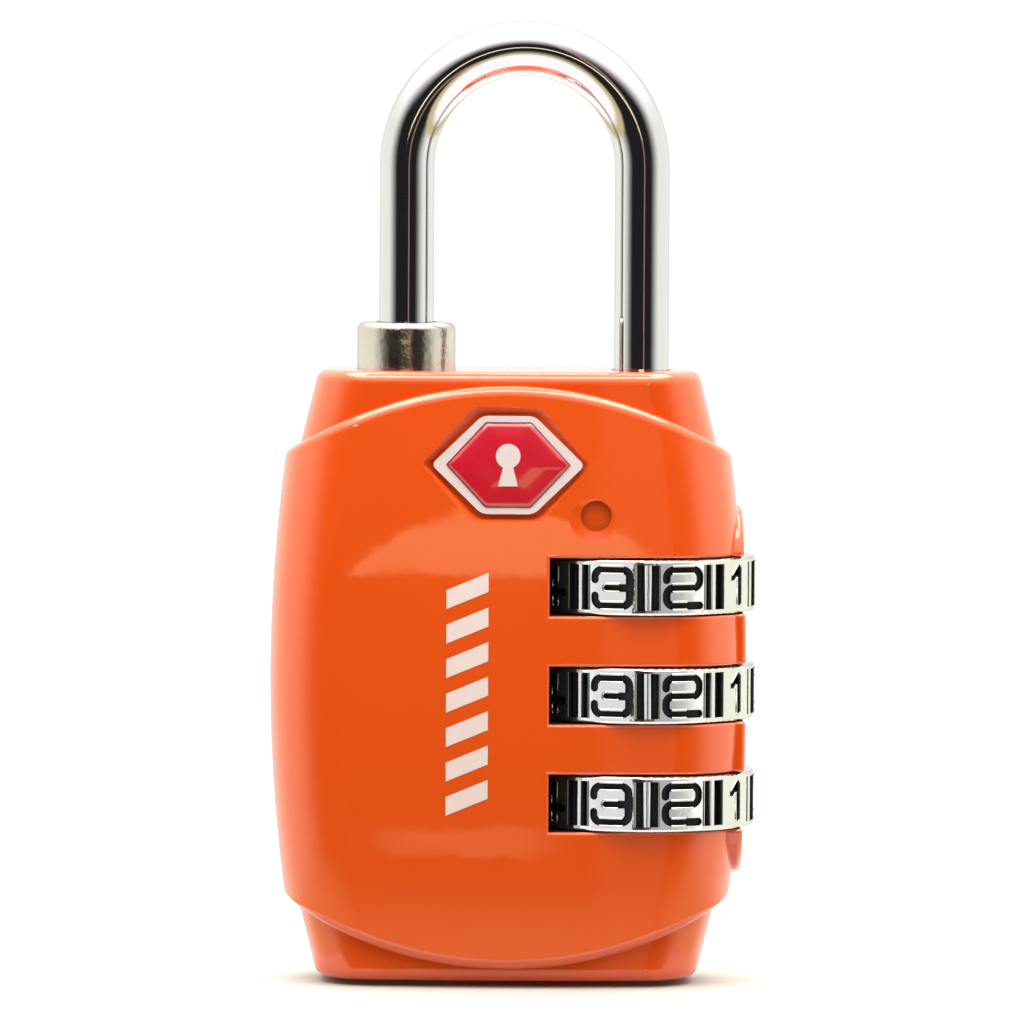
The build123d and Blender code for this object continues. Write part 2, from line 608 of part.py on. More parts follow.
def main():
    front, back = shells()
    pieces = {
        "front_shell": front,
        "back_shell": back,
        "shackle": shackle(),
        "collar": collar(),
        "heel_bush": heel_bush(),
        "spring_plug": spring_plug(),
        "shackle_spring": coil_spring(LEG_X, 0.2, 1.42, SPRING_PLUG_TOP + 0.05, LEG_BOTTOM - 0.05, 0.85),
        "collar_spring": coil_spring(TOE_X, 0.22, 2.72, CLIP_TOP + 0.05, COLLAR_BOTTOM - 0.05, 1.35),
        "key_cylinder": key_cylinder(),
        "key_plug": key_plug(),
        "plug_clip": plug_clip(),
        "cam_pin": cam_pin(),
        "wafers": wafers(),
        "wafer_springs": wafer_springs(),
        "detent_spring": detent_spring(),
        "case_pins": Compound(children=pin_rods(PIN_RADIUS, PIN_HALF_LENGTH)),
        "badge_plate": badge_plate(),
        "badge_enamel": badge_enamel(),
    }
    for number, z in enumerate(DIAL_ZS, start=1):
        pieces[f"dial_{number}"] = dial(z)
        pieces[f"clutch_ring_{number}"] = clutch_ring(z)
    os.makedirs("parts", exist_ok=True)
    for node, shape in pieces.items():
        export_step(shape, f"parts/{node}.step")


main()
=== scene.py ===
import math

import bmesh
import bpy
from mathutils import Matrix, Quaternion, Vector
from mathutils.bvhtree import BVHTree


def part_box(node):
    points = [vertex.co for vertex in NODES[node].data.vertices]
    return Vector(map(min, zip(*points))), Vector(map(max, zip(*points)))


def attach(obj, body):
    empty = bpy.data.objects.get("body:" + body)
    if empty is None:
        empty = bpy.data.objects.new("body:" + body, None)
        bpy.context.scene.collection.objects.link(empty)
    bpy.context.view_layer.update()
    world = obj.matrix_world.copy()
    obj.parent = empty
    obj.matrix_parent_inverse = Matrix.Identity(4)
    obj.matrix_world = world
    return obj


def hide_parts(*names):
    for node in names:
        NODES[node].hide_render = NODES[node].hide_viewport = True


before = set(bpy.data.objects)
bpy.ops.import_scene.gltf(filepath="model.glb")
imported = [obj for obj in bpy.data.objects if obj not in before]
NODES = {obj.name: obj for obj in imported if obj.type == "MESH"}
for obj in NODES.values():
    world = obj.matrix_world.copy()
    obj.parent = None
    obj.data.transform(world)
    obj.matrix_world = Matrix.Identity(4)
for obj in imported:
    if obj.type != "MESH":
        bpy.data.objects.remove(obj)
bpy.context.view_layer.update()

# Looks of a luggage combination padlock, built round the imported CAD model. Metres throughout.
MM = 0.001

DIAL_NODES = ("dial_1", "dial_2", "dial_3")
DIAL_LOW, DIAL_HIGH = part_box("dial_1")
DIAL_X = (DIAL_LOW.x + DIAL_HIGH.x) / 2
DIAL_RADIUS = (DIAL_HIGH.x - DIAL_LOW.x) / 2
BADGE_LOW, BADGE_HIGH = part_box("badge_enamel")


# ---------------------------------------------------------------- camera

CAMERA_DISTANCE = 0.544
CAMERA_HEIGHT = 0.059
CAMERA_AIM_HEIGHT = 0.0297
CAMERA_AIM_X = 0.000115
CAMERA_ROLL = 0.3          # degrees
CAMERA_LENS = 301.1
SENSOR_WIDTH = 36.0


def make_camera():
    """Long lens, a little above the object, aimed at the middle of its height."""
    data = bpy.data.cameras.new("camera")
    data.sensor_width = SENSOR_WIDTH
    data.lens = CAMERA_LENS
    data.clip_start = 0.01
    data.clip_end = 20.0
    camera = bpy.data.objects.new("camera", data)
    bpy.context.scene.collection.objects.link(camera)
    camera.location = (CAMERA_AIM_X, -CAMERA_DISTANCE, CAMERA_HEIGHT)
    aim = Vector((CAMERA_AIM_X, 0, CAMERA_AIM_HEIGHT)) - camera.location
    camera.rotation_mode = "QUATERNION"
    turn = aim.to_track_quat("-Z", "Y")
    roll = Quaternion((0, 0, 1), math.radians(CAMERA_ROLL))
    camera.rotation_quaternion = turn @ roll
    bpy.context.scene.camera = camera


make_camera()


# ---------------------------------------------------------------- node helpers

class Nodes:
    """Short calls for building a node tree."""

    def __init__(self, tree):
        self.tree = tree
        tree.nodes.clear()

    def add(self, kind, **settings):
        node = self.tree.nodes.new(kind)
        for name, value in settings.items():
            setattr(node, name, value)
        return node

    def link(self, source, target):
        self.tree.links.new(source, target)

    def set(self, socket, value):
        """Plug a socket in, or give it a constant."""
        if isinstance(value, bpy.types.NodeSocket):
            self.tree.links.new(value, socket)
        else:
            socket.default_value = value

    def math(self, operation, a, b=0.0, c=0.0, clamp=False):
        node = self.add("ShaderNodeMath", operation=operation, use_clamp=clamp)
        for socket, value in zip(node.inputs, (a, b, c)):
            self.set(socket, value)
        return node.outputs[0]

    def ramp_up(self, value, low, high):
        """0 below low, 1 above high, smooth between."""
        node = self.add("ShaderNodeMapRange", interpolation_type="SMOOTHSTEP")
        self.set(node.inputs["Value"], value)
        node.inputs["From Min"].default_value = low
        node.inputs["From Max"].default_value = high
        return node.outputs["Result"]

    def mix(self, factor, a, b):
        """Colour mix."""
        node = self.add("ShaderNodeMix", data_type="RGBA")
        self.set(node.inputs["Factor"], factor)
        self.set(node.inputs["A"], a)
        self.set(node.inputs["B"], b)
        return node.outputs["Result"]

    def noise(self, coordinates, scale, detail=2.0, roughness=0.5, distortion=0.0):
        node = self.add("ShaderNodeTexNoise")
        self.link(coordinates, node.inputs["Vector"])
        node.inputs["Scale"].default_value = scale
        node.inputs["Detail"].default_value = detail
        node.inputs["Roughness"].default_value = roughness
        node.inputs["Distortion"].default_value = distortion
        return node.outputs["Fac"]

    def spread(self, value, low, high):
        """Map 0..1 to low..high."""
        node = self.add("ShaderNodeMapRange")
        self.set(node.inputs["Value"], value)
        node.inputs["To Min"].default_value = low
        node.inputs["To Max"].default_value = high
        return node.outputs["Result"]

    def bump(self, height, strength, distance, normal=None):
        node = self.add("ShaderNodeBump")
        node.inputs["Strength"].default_value = strength
        node.inputs["Distance"].default_value = distance
        self.link(height, node.inputs["Height"])
        if normal is not None:
            self.link(normal, node.inputs["Normal"])
        return node.outputs["Normal"]


def new_material(name):
    """A material with its node helper, its Principled shader and its object coordinates."""
    material = bpy.data.materials.new(name)
    material.use_nodes = True
    nodes = Nodes(material.node_tree)
    shader = nodes.add("ShaderNodeBsdfPrincipled")
    output = nodes.add("ShaderNodeOutputMaterial")
    nodes.link(shader.outputs[0], output.inputs["Surface"])
    coordinates = nodes.add("ShaderNodeTexCoord").outputs["Object"]
    return material, nodes, shader, coordinates


def hexcolour(red, green, blue, alpha=1.0):
    """Scene-linear colour from 0..255 display values."""
    def linear(value):
        value /= 255.0
        return value / 12.92 if value <= 0.04045 else ((value + 0.055) / 1.055) ** 2.4
    return (linear(red), linear(green), linear(blue), alpha)


# ---------------------------------------------------------------- light

SKY_WHITE = (1.08, 1.08, 1.08, 1)      # what the camera sees behind the object
SIDE_WHITE = (1.46, 1.50, 1.20, 1)     # soft boxes at both sides
BACK_WHITE = (1.05, 1.02, 1.00, 1)     # backdrop
TOP_WHITE = (2.30, 2.15, 1.95, 1)      # overhead diffuser
TOP_STRIP = (9.00, 8.80, 7.40, 1)      # bright tube above the diffuser
TABLE_WHITE = (1.05, 0.88, 0.42, 1)    # the table's far edge, warmed by the object
TABLE_NEAR = (1.80, 1.78, 1.55, 1)     # the table right under the object
FRONT_DARK = (0.025, 0.024, 0.023, 1)  # the dark room behind the camera
DOME_WHITE = (1.90, 1.80, 0.95, 1)     # low round-topped window in front
SLIT_WHITE = (0.90, 0.80, 0.45, 1)     # table edge in front
LINE_BROWN = (0.520, 0.290, 0.200, 1)  # thin stand beside the camera

# Where the boxes begin and end, in degrees. Azimuth 0 is the front, positive to the right.
FRONT_SHIFT = 3.0          # the dark room's middle lies this far to the left
BESIDE = (36.0, 82.0)      # off the dark room's middle
BEHIND = (50.0, 20.0)      # off the back
ABOVE = (14.0, 46.0)       # elevation
BELOW = (14.5, 20.0)       # degrees under the horizon
NEAR = (22.0, 30.0)        # degrees under the horizon
STRIP_LOW, STRIP_HIGH = (56.0, 62.0), (82.0, 76.0)
DOME_TOP, DOME_BEND = 4.5, 0.00021     # the window's top falls with the fourth power of azimuth
DOME_EDGE = (-0.15, 0.25)
DOME_FOOT = (1.3, 1.8)
SLIT_LOW, SLIT_HIGH, SLIT_REACH = (-14.0, -13.6), (-12.2, -12.8), (8.0, 3.0)
LINE_LEFT, LINE_RIGHT = (5.5, 7.5), (12.5, 10.0)


def make_world():
    """White studio round the object; only mirrors and light see the darker room in front."""
    world = bpy.data.worlds.new("studio")
    bpy.context.scene.world = world
    world.use_nodes = True
    nodes = Nodes(world.node_tree)
    direction = nodes.add("ShaderNodeTexCoord").outputs["Generated"]
    split = nodes.add("ShaderNodeSeparateXYZ")
    nodes.link(direction, split.inputs[0])
    x, y, z = split.outputs
    degrees = 180 / math.pi
    azimuth = nodes.math("MULTIPLY", nodes.math("ARCTAN2", x, nodes.math("MULTIPLY", y, -1.0)), degrees)
    elevation = nodes.math("MULTIPLY", nodes.math("ARCSINE", z), degrees)
    depression = nodes.math("MULTIPLY", elevation, -1.0)
    off_front = nodes.math("ABSOLUTE", nodes.math("ADD", azimuth, FRONT_SHIFT))
    off_back = nodes.math("SUBTRACT", 180.0, nodes.math("ABSOLUTE", azimuth))
    beside = nodes.ramp_up(off_front, *BESIDE)
    behind = nodes.ramp_up(off_back, *BEHIND)
    above = nodes.ramp_up(elevation, *ABOVE)
    below = nodes.ramp_up(depression, *BELOW)
    near = nodes.ramp_up(depression, *NEAR)
    strip = nodes.math("MULTIPLY", nodes.ramp_up(elevation, *STRIP_LOW), nodes.ramp_up(elevation, *STRIP_HIGH))

    fall = nodes.math("POWER", nodes.math("ABSOLUTE", azimuth), 4.0)
    dome_top = nodes.math("MULTIPLY_ADD", fall, -DOME_BEND, DOME_TOP)
    under_top = nodes.ramp_up(nodes.math("SUBTRACT", dome_top, elevation), *DOME_EDGE)
    dome = nodes.math("MULTIPLY", under_top, nodes.ramp_up(elevation, *DOME_FOOT))
    slit = nodes.math("MULTIPLY", nodes.ramp_up(elevation, *SLIT_LOW), nodes.ramp_up(elevation, *SLIT_HIGH))
    slit = nodes.math("MULTIPLY", slit, nodes.ramp_up(off_front, *SLIT_REACH))
    line = nodes.math("MULTIPLY", nodes.ramp_up(azimuth, *LINE_LEFT), nodes.ramp_up(azimuth, *LINE_RIGHT))

    colour = nodes.mix(line, FRONT_DARK, LINE_BROWN)
    colour = nodes.mix(dome, colour, DOME_WHITE)
    colour = nodes.mix(slit, colour, SLIT_WHITE)
    colour = nodes.mix(beside, colour, SIDE_WHITE)
    colour = nodes.mix(behind, colour, BACK_WHITE)
    colour = nodes.mix(above, colour, TOP_WHITE)
    colour = nodes.mix(strip, colour, TOP_STRIP)
    colour = nodes.mix(below, colour, TABLE_WHITE)
    rays = nodes.add("ShaderNodeLightPath").outputs
    colour = nodes.mix(nodes.math("MULTIPLY", near, rays["Is Glossy Ray"]), colour, TABLE_NEAR)
    background = nodes.add("ShaderNodeBackground")
    nodes.link(nodes.mix(rays["Is Camera Ray"], colour, SKY_WHITE), background.inputs["Color"])
    output = nodes.add("ShaderNodeOutputWorld")
    nodes.link(background.outputs[0], output.inputs["Surface"])
    bpy.context.scene.view_settings.view_transform = "Standard"


def area_light(name, location, target, width, height, power):
    """Soft rectangular light that faces a target."""
    data = bpy.data.lights.new(name, "AREA")
    data.shape = "RECTANGLE"
    data.size = width
    data.size_y = height
    data.energy = power
    light = bpy.data.objects.new(name, data)
    bpy.context.scene.collection.objects.link(light)
    light.location = location
    aim = Vector(target) - Vector(location)
    light.rotation_mode = "QUATERNION"
    light.rotation_quaternion = aim.to_track_quat("-Z", "Y")
    light.visible_camera = False
    return light


FLOOR_HALF = 0.6
FLOOR_DEPTH = 0.38 * MM    # the casing's rounded underside stands this far above the floor's face
SHEET_HALF = (0.0170, 0.0085)


def make_floor(name, half_width, half_depth, drop):
    """Plain white sheet, level, at a drop below the object's foot."""
    mesh = bpy.data.meshes.new(name)
    corners = [(-half_width, -half_depth, -drop), (half_width, -half_depth, -drop),
               (half_width, half_depth, -drop), (-half_width, half_depth, -drop)]
    mesh.from_pydata(corners, [], [(0, 1, 2, 3)])
    floor = bpy.data.objects.new(name, mesh)
    bpy.context.scene.collection.objects.link(floor)
    material, nodes, shader, coordinates = new_material(name + "_white")
    grain = nodes.noise(coordinates, 40.0, 2.0)
    nodes.link(nodes.mix(grain, (0.455, 0.462, 0.480, 1), (0.465, 0.472, 0.490, 1)), shader.inputs["Base Color"])
    shader.inputs["Roughness"].default_value = 0.8
    shader.inputs["Specular IOR Level"].default_value = 0.0
    mesh.materials.append(material)
    floor.visible_shadow = False
    return floor


def make_ground():
    """Wide floor that only the camera sees, and the shaded patch that the foot's edge mirrors."""
    floor = make_floor("floor", FLOOR_HALF, FLOOR_HALF, FLOOR_DEPTH)
    floor.visible_glossy = False
    floor.visible_diffuse = False
    sheet = make_floor("sheet", *SHEET_HALF, FLOOR_DEPTH + 0.02 * MM)
    sheet.visible_camera = False


PANEL_DISTANCE = 0.30
PANEL_SIZE = 0.30
PANEL_POWER = 0.34


def dial_panels():
    """Two soft panels in front that only the dials catch, with a gap for the camera between."""
    dials = bpy.data.collections.new("dial_light_receivers")
    for name in DIAL_NODES:
        dials.objects.link(NODES[name])
    centre = Vector((DIAL_X, 0, DIAL_LOW.z))
    for name, azimuth, power in (("panel_left", -33.0, PANEL_POWER), ("panel_right", 40.0, 0.6 * PANEL_POWER)):
        turn = math.radians(azimuth)
        place = centre + PANEL_DISTANCE * Vector((math.sin(turn), -math.cos(turn), 0))
        light = area_light(name, place, centre, PANEL_SIZE, PANEL_SIZE, power)
        light.light_linking.receiver_collection = dials


make_world()
make_ground()
area_light("key", (-0.25, -0.35, 0.60), (0, 0, 0.02), 0.35, 0.35, 0.5)
dial_panels()


# ---------------------------------------------------------------- materials

def case_paint():
    """Gloss orange enamel: fine orange peel, slow colour drift, faint dust specks."""
    material, nodes, shader, coordinates = new_material("case_paint")
    drift = nodes.noise(coordinates, 60.0, 3.0)
    colour = nodes.mix(drift, (0.735, 0.082, 0.0053, 1), (0.700, 0.0745, 0.0046, 1))
    speck = nodes.ramp_up(nodes.noise(coordinates, 2600.0, 2.0, 0.6), 0.74, 0.80)
    colour = nodes.mix(nodes.math("MULTIPLY", speck, 0.25), colour, hexcolour(180, 60, 20))
    nodes.link(colour, shader.inputs["Base Color"])
    smudge = nodes.noise(coordinates, 180.0, 4.0, 0.6)
    nodes.link(nodes.spread(smudge, 0.25, 0.36), shader.inputs["Roughness"])
    shader.inputs["Specular IOR Level"].default_value = 0.25
    shader.inputs["Coat Weight"].default_value = 1.0
    shader.inputs["Coat IOR"].default_value = 1.6
    shader.inputs["Coat Roughness"].default_value = 0.03
    peel = nodes.noise(coordinates, 900.0, 2.0, 0.5)
    normal = nodes.bump(peel, 0.03, 0.00005)
    nodes.link(normal, shader.inputs["Normal"])
    nodes.link(normal, shader.inputs["Coat Normal"])
    return material


def case_inside_painted_shade():
    """Inside of the casing: raw zinc, painted near-black as shade for the hollows behind the dial windows, with
    fine grain.
    """
    material, nodes, shader, coordinates = new_material("case_inside_painted_shade")
    grain = nodes.noise(coordinates, 900.0, 4.0, 0.6)
    # near-black base colour: painted shade of the casing's hollows
    nodes.link(nodes.mix(grain, (0.003, 0.002, 0.002, 1), (0.016, 0.008, 0.006, 1)), shader.inputs["Base Color"])
    nodes.link(nodes.spread(grain, 0.35, 0.75), shader.inputs["Roughness"])
    nodes.link(nodes.bump(grain, 0.3, 0.00005), shader.inputs["Normal"])
    return material


def metal(name, colour, roughness, ripple_scale, ripple, scratch=0.0, mottle=0.0, mottle_colour=None):
    """Plated or drawn metal: soft ripples, fine scratches, roughness that drifts."""
    material, nodes, shader, coordinates = new_material(name)
    shader.inputs["Metallic"].default_value = 1.0
    if mottle_colour is None:
        mottle_colour = tuple(0.92 * value for value in colour[:3]) + (1.0,)
    drift = nodes.noise(coordinates, 400.0, 4.0, 0.6)
    nodes.link(nodes.mix(nodes.math("MULTIPLY", drift, mottle), colour, mottle_colour), shader.inputs["Base Color"])
    nodes.link(nodes.spread(drift, roughness * 0.7, roughness * 1.4), shader.inputs["Roughness"])
    wave = nodes.noise(coordinates, ripple_scale, 2.0, 0.5)
    normal = nodes.bump(wave, ripple, 0.0001)
    if scratch:
        stretch = nodes.add("ShaderNodeMapping")
        stretch.inputs["Scale"].default_value = (9000.0, 9000.0, 500.0)
        nodes.link(coordinates, stretch.inputs["Vector"])
        lines = nodes.noise(stretch.outputs["Vector"], 1.0, 1.0, 0.4)
        normal = nodes.bump(lines, scratch, 0.00002, normal)
    nodes.link(normal, shader.inputs["Normal"])
    return material


def ink_and_shade():
    """Black of the digits, which is their ink filling, and of the valleys and the outline seats, which is painted
    shade.
    """
    material, nodes, shader, coordinates = new_material("digit_ink_and_shade")
    grain = nodes.noise(coordinates, 1500.0, 3.0, 0.6)
    nodes.link(nodes.mix(grain, (0.004, 0.004, 0.007, 1), (0.012, 0.012, 0.018, 1)), shader.inputs["Base Color"])
    nodes.link(nodes.spread(grain, 0.35, 0.55), shader.inputs["Roughness"])
    nodes.link(nodes.bump(grain, 0.12, 0.00003), shader.inputs["Normal"])
    shader.inputs["Specular IOR Level"].default_value = 0.15
    return material


def gloss_plastic(name, colour, second, scale, coat):
    """Gloss plastic or enamel with a slow drift between two close colours."""
    material, nodes, shader, coordinates = new_material(name)
    drift = nodes.noise(coordinates, scale, 3.0, 0.6)
    nodes.link(nodes.mix(drift, colour, second), shader.inputs["Base Color"])
    nodes.link(nodes.spread(drift, 0.18, 0.32), shader.inputs["Roughness"])
    shader.inputs["Coat Weight"].default_value = coat
    shader.inputs["Coat Roughness"].default_value = 0.05
    return material


MATERIALS = {
    "paint": case_paint(),
    "inside": case_inside_painted_shade(),
    "chrome": metal("chrome", (0.560, 0.550, 0.635, 1), 0.035, 300.0, 0.03, scratch=0.03, mottle=0.5),
    "dial_chrome": metal("dial_chrome", (0.600, 0.602, 0.620, 1), 0.10, 1300.0, 0.34, mottle=0.6),
    "nickel": metal("nickel", (0.600, 0.550, 0.560, 1), 0.17, 1100.0, 0.55, scratch=0.05, mottle=1.0,
                    mottle_colour=(0.43, 0.38, 0.37, 1)),
    "brass": metal("brass", (0.72, 0.50, 0.22, 1), 0.25, 700.0, 0.10, scratch=0.2, mottle=0.8),
    "zinc": metal("zinc", (0.52, 0.52, 0.53, 1), 0.35, 900.0, 0.20, scratch=0.2, mottle=0.8),
    "steel": metal("steel", (0.56, 0.56, 0.58, 1), 0.20, 700.0, 0.10, scratch=0.1, mottle=0.6),
    "ink_and_shade": ink_and_shade(),
    "rim": gloss_plastic("badge_rim_paint", hexcolour(222, 214, 229), hexcolour(212, 200, 214), 500.0, 0.5),
    "enamel": gloss_plastic("badge_crimson", hexcolour(205, 22, 52), hexcolour(178, 16, 40), 300.0, 1.0),
    "print": gloss_plastic("print_white", hexcolour(230, 218, 233), hexcolour(224, 208, 222), 1200.0, 0.2),
}

NODE_MATERIALS = {
    "front_shell": "paint", "back_shell": "paint", "shackle": "chrome", "collar": "nickel",
    "dial_1": "dial_chrome", "dial_2": "dial_chrome", "dial_3": "dial_chrome",
    "clutch_ring_1": "brass", "clutch_ring_2": "brass", "clutch_ring_3": "brass",
    "key_plug": "brass", "wafers": "brass", "heel_bush": "brass",
    "key_cylinder": "zinc", "spring_plug": "zinc",
    "shackle_spring": "steel", "collar_spring": "steel", "wafer_springs": "steel",
    "detent_spring": "steel", "plug_clip": "steel", "cam_pin": "steel", "case_pins": "steel",
    "badge_plate": "rim", "badge_enamel": "enamel",
}

for name, key in NODE_MATERIALS.items():
    mesh = NODES[name].data
    mesh.materials.clear()
    mesh.materials.append(MATERIALS[key])


def axis_distance(point):
    """Distance from the dials' axis."""
    return math.hypot(point.x - DIAL_X, point.y)


POCKET_START = 0.12 * MM   # pockets reach from here to here below the dial's skin
POCKET_DEPTH = 0.6 * MM
DIAL_RIM = 0.2 * MM        # height of the end faces' zone


def paint_dial(name):
    """Black in every pocket: the floors and walls that lie below the dial's rim; ink in the digits, painted shade
    in the valleys between them.
    """
    mesh = NODES[name].data
    mesh.materials.append(MATERIALS["ink_and_shade"])
    low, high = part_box(name)
    for polygon in mesh.polygons:
        radius = axis_distance(polygon.center)
        inner = DIAL_RADIUS - POCKET_DEPTH < radius < DIAL_RADIUS - POCKET_START
        level = abs(polygon.normal.z) > 0.99 and (
            polygon.center.z > high.z - DIAL_RIM or polygon.center.z < low.z + DIAL_RIM)
        # pockets get the black: ink in the digits, painted shade in the valleys
        polygon.material_index = 1 if inner and not level else 0


for name in DIAL_NODES:
    paint_dial(name)


OUTLINE_RADIUS = 0.075 * MM
# the seat is painted shade: a dark line where the raised outline meets the dial
SHADE_SEAT_RADIUS = 0.15 * MM    # dark seat that the outline stands on
SHADE_SEAT_DROP = 0.125 * MM
OUTLINE_GRID = 1e-6        # corners closer than this are one corner


def pocket_edges(name):
    """Edges where the dial's chrome skin meets the black of a pocket."""
    mesh = NODES[name].data
    seen = {0: set(), 1: set()}
    places = {}
    for polygon in mesh.polygons:
        ring = []
        for index in polygon.vertices:
            point = mesh.vertices[index].co
            key = tuple(round(value / OUTLINE_GRID) for value in point)
            places[key] = point.copy()
            ring.append(key)
        for one, two in zip(ring, ring[1:] + ring[:1]):
            seen[polygon.material_index].add(frozenset((one, two)))
    shared = [edge for edge in seen[0] & seen[1] if len(edge) == 2]
    rim = DIAL_RADIUS - 0.1 * MM
    return [edge for edge in shared if all(axis_distance(places[key]) > rim for key in edge)], places


def chains(edges):
    """Join edges end to end into closed or open runs of corners."""
    beside = {}
    for edge in edges:
        one, two = edge
        beside.setdefault(one, set()).add(two)
        beside.setdefault(two, set()).add(one)
    runs = []
    while beside:
        start = min(beside, key=lambda key: (len(beside[key]) != 1, key))
        run = [start]
        while beside.get(run[-1]):
            here = run[-1]
            ahead = min(beside[here])
            beside[here].discard(ahead)
            beside[ahead].discard(here)
            for key in (here, ahead):
                if not beside[key]:
                    del beside[key]
            run.append(ahead)
        if len(run) > 1:
            runs.append(run)
        else:
            beside.pop(start, None)
    return runs


def sunk(point, drop):
    """The point moved towards the dials' axis."""
    out = Vector((point.x - DIAL_X, point.y, 0)).normalized()
    return point - out * drop


def edge_lines(name, runs, places, radius, drop, material):
    """Round lines along a dial's pocket edges."""
    curve = bpy.data.curves.new(name, "CURVE")
    curve.dimensions = "3D"
    curve.bevel_depth = radius
    curve.bevel_resolution = 2
    for run in runs:
        closed = run[0] == run[-1]
        points = run[:-1] if closed else run
        spline = curve.splines.new("POLY")
        spline.points.add(len(points) - 1)
        for target, key in zip(spline.points, points):
            target.co = (*sunk(places[key], drop), 1)
        spline.use_cyclic_u = closed
    curve.materials.append(MATERIALS[material])
    piece = bpy.data.objects.new(name, curve)
    bpy.context.scene.collection.objects.link(piece)
    return piece


def dial_outlines(dial):
    """Fine raised chrome line round each digit and valley of a dial, on a dark seat of painted shade."""
    edges, places = pocket_edges(dial)
    runs = chains(edges)
    outline = edge_lines(dial + "_outline", runs, places, OUTLINE_RADIUS, 0.01 * MM, "dial_chrome")
    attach(outline, dial)
    # dark seat in the black material: painted shade along the outline's foot
    seat = edge_lines(dial + "_shade_seat", runs, places, SHADE_SEAT_RADIUS, SHADE_SEAT_DROP, "ink_and_shade")
    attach(seat, dial)


for name in DIAL_NODES:
    dial_outlines(name)


def paint_shell_inside(name):
    """Every face that isn't on the outer skin gets the near-black inside, which is painted shade."""
    mesh = NODES[name].data
    mesh.materials.append(MATERIALS["inside"])
    tree = BVHTree.FromObject(NODES[name], bpy.context.evaluated_depsgraph_get())
    for polygon in mesh.polygons:
        centre, normal = polygon.center, polygon.normal
        hit = tree.ray_cast(centre + normal * 0.02 * MM, normal, 30 * MM)[0]
        # slot roofs, slot ends and the split faces take the painted shade too
        slot_roof = abs(normal.z) > 0.98 and 5 * MM < centre.z < 34 * MM
        slot_end = normal.x > 0.98 and abs(centre.x) < 5 * MM
        split_face = abs(centre.y) < 0.01 * MM
        polygon.material_index = 1 if hit is not None or slot_roof or slot_end or split_face else 0


paint_shell_inside("front_shell")
paint_shell_inside("back_shell")


# ---------------------------------------------------------------- badge

DOME_HALF_WIDTH = 3.88 * MM
DOME_HALF_HEIGHT = 2.63 * MM
DOME_HALF_FLAT = 1.42 * MM
DOME_HEIGHT = 0.16 * MM
DOME_SHAPE = 2.4           # higher is flatter on top and steeper at the edge
DOME_RINGS = 10
DOME_ROOT = 0.2 * MM       # the dome's edge goes this far down into the tray
GLYPH_LIFT = 0.015 * MM
GLYPH_HEAD = 0.78 * MM     # radius of the keyhole's round head
GLYPH_HEAD_Y = 0.55 * MM
GLYPH_WAIST = 0.32 * MM    # half widths where the slot leaves the head, and at its foot
GLYPH_FOOT = 0.62 * MM
GLYPH_FOOT_Y = -1.356 * MM
GLYPH_STEPS = 28


def badge_frame():
    """Middle of the enamel's face, with its right, up and outward directions."""
    mesh = NODES["badge_enamel"].data
    face = min(mesh.polygons, key=lambda polygon: (round(polygon.normal.y, 2), polygon.center.y))
    out = face.normal.normalized()
    up = Vector((0, 0, 1))
    up = (up - out * up.dot(out)).normalized()
    right = up.cross(out)
    middle = (BADGE_LOW + BADGE_HIGH) / 2
    middle += out * (face.center - middle).dot(out)
    return middle, right, up, out


BADGE_MIDDLE, BADGE_RIGHT, BADGE_UP, BADGE_OUT = badge_frame()


def on_dome(share, angle_point):
    """Point of the dome: share 0 is the middle, 1 the rim; angle_point is the rim point below it."""
    flat = angle_point * share
    lift = DOME_HEIGHT * (1 - share ** DOME_SHAPE)
    return BADGE_MIDDLE + BADGE_RIGHT * flat.x + BADGE_UP * flat.y + BADGE_OUT * lift


def dome_rim():
    """Corners of the enamel field's face, as seen from the front, with points between them."""
    corners = [Vector(point) for point in (
        (-DOME_HALF_WIDTH, 0), (-DOME_HALF_FLAT, DOME_HALF_HEIGHT), (DOME_HALF_FLAT, DOME_HALF_HEIGHT),
        (DOME_HALF_WIDTH, 0), (DOME_HALF_FLAT, -DOME_HALF_HEIGHT), (-DOME_HALF_FLAT, -DOME_HALF_HEIGHT))]
    rim = []
    for start, end in zip(corners, corners[1:] + corners[:1]):
        for step in range(6):
            rim.append(start.lerp(end, step / 6))
    return rim


def add_piece(name, mesh, material, body):
    """A new smooth-shaded piece that rides on a body."""
    data = bpy.data.meshes.new(name)
    mesh.to_mesh(data)
    mesh.free()
    data.materials.append(MATERIALS[material])
    for polygon in data.polygons:
        polygon.use_smooth = True
    piece = bpy.data.objects.new(name, data)
    bpy.context.scene.collection.objects.link(piece)
    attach(piece, body)
    return piece


def badge_dome():
    """Clear crimson enamel that stands in a low dome over the badge's field."""
    rim = dome_rim()
    mesh = bmesh.new()
    crown = mesh.verts.new(on_dome(0, rim[0]))
    rings = []
    for ring in range(1, DOME_RINGS + 1):
        rings.append([mesh.verts.new(on_dome(ring / DOME_RINGS, point)) for point in rim])
    rings.append([mesh.verts.new(on_dome(1, point) - BADGE_OUT * DOME_ROOT) for point in rim])
    count = len(rim)
    for index in range(count):
        beyond = (index + 1) % count
        mesh.faces.new((crown, rings[0][beyond], rings[0][index]))
        for inner, outer in zip(rings, rings[1:]):
            mesh.faces.new((inner[index], inner[beyond], outer[beyond], outer[index]))
    bmesh.ops.recalc_face_normals(mesh, faces=mesh.faces)
    piece = add_piece("badge_dome", mesh, "enamel", "casing")
    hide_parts("badge_enamel")


def dome_point(x, y, lift):
    """Point over the dome at a place seen from the front, lifted off it."""
    slope = DOME_HALF_WIDTH - DOME_HALF_FLAT
    share = min(max(abs(y) / DOME_HALF_HEIGHT, (abs(x) + abs(y) * slope / DOME_HALF_HEIGHT) / DOME_HALF_WIDTH), 1)
    height = DOME_HEIGHT * (1 - share ** DOME_SHAPE) + lift
    return BADGE_MIDDLE + BADGE_RIGHT * x + BADGE_UP * y + BADGE_OUT * height


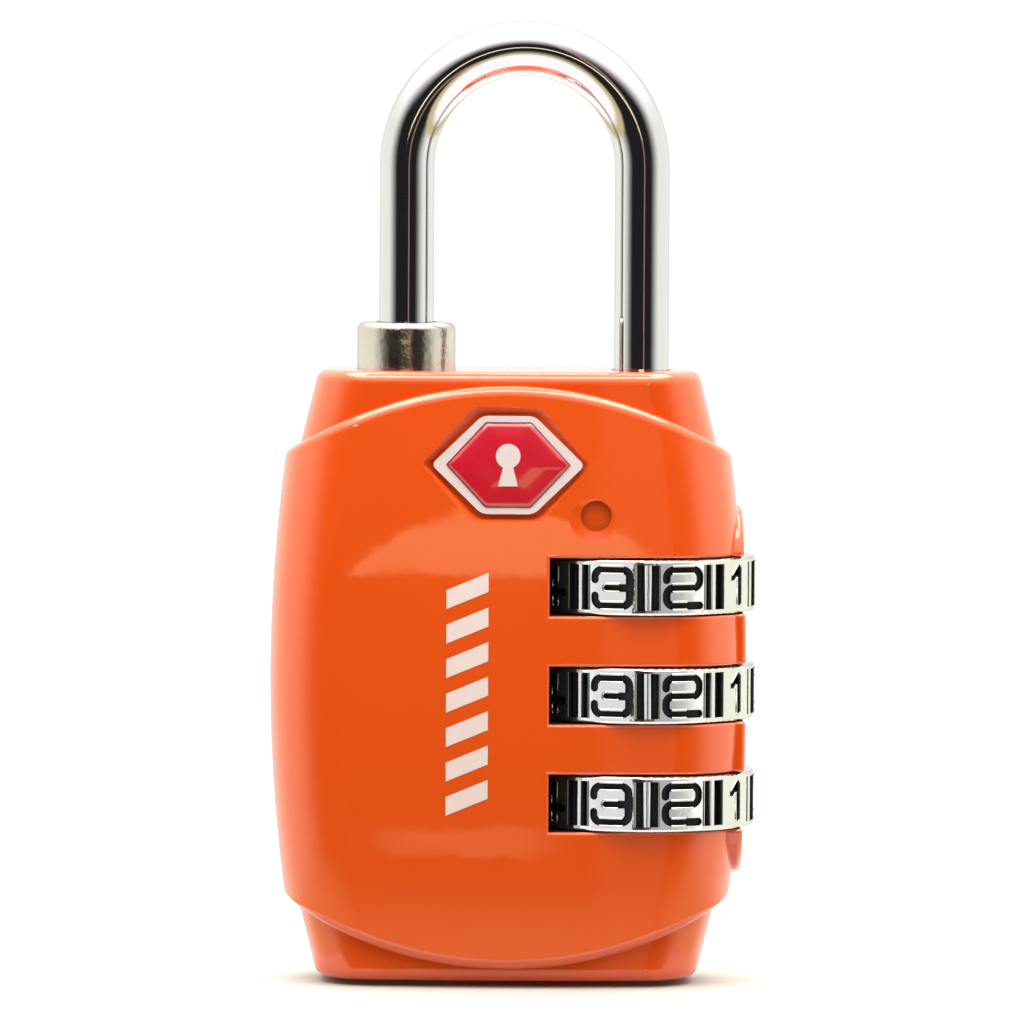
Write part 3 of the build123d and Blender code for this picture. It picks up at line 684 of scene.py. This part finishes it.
def keyhole_glyph():
    """Small plain keyhole in the middle of the badge."""
    join = math.asin(GLYPH_WAIST / GLYPH_HEAD)
    outline = []
    for step in range(GLYPH_STEPS + 1):
        angle = -math.pi / 2 + join + (2 * math.pi - 2 * join) * step / GLYPH_STEPS
        outline.append((GLYPH_HEAD * math.cos(angle), GLYPH_HEAD_Y + GLYPH_HEAD * math.sin(angle)))
    outline += [(-GLYPH_FOOT, GLYPH_FOOT_Y), (GLYPH_FOOT, GLYPH_FOOT_Y)]
    mesh = bmesh.new()
    middle = mesh.verts.new(dome_point(0, 0, GLYPH_LIFT))
    shell = [mesh.verts.new(dome_point(x, y, GLYPH_LIFT)) for x, y in outline]
    for one, two in zip(shell, shell[1:] + shell[:1]):
        mesh.faces.new((middle, one, two))
    bmesh.ops.recalc_face_normals(mesh, faces=mesh.faces)
    if sum(face.normal.dot(BADGE_OUT) for face in mesh.faces) < 0:
        bmesh.ops.reverse_faces(mesh, faces=mesh.faces)
    add_piece("badge_glyph", mesh, "rim", "casing")


badge_dome()
keyhole_glyph()


# ---------------------------------------------------------------- print

FRONT_SKIN = BVHTree.FromObject(NODES["front_shell"], bpy.context.evaluated_depsgraph_get())
PRINT_LIFT = 0.02 * MM
PRINT_LEFT, PRINT_RIGHT = -3.86 * MM, -1.21 * MM
PRINT_LOW, PRINT_HIGH = 10.7 * MM, 26.1 * MM
PRINT_BARS = 7
PRINT_SLANT = 1.1 * MM
PRINT_PITCH = (PRINT_HIGH - PRINT_LOW - PRINT_SLANT) / (PRINT_BARS - 0.45)
PRINT_THICKNESS = PRINT_PITCH * 0.55
PRINT_STEPS = 8            # each bar follows the bow of the front in this many faces


def on_front(x, z):
    """Point just proud of the casing's front at a place seen from the front."""
    hit, normal, index, distance = FRONT_SKIN.ray_cast(Vector((x, -0.03, z)), Vector((0, 1, 0)))
    return hit + normal * PRINT_LIFT


def hatch_print():
    """Column of slanted white bars printed on the front."""
    mesh = bmesh.new()
    for bar in range(PRINT_BARS):
        base = PRINT_LOW + bar * PRINT_PITCH
        for step in range(PRINT_STEPS):
            corners = []
            places = ((step, 0), (step + 1, 0), (step + 1, PRINT_THICKNESS), (step, PRINT_THICKNESS))
            for share, lift in places:
                along = share / PRINT_STEPS
                x = PRINT_LEFT + (PRINT_RIGHT - PRINT_LEFT) * along
                corners.append(mesh.verts.new(on_front(x, base + PRINT_SLANT * along + lift)))
            mesh.faces.new(corners)
    bmesh.ops.remove_doubles(mesh, verts=mesh.verts, dist=0.001 * MM)
    add_piece("front_print", mesh, "print", "casing")


hatch_print()
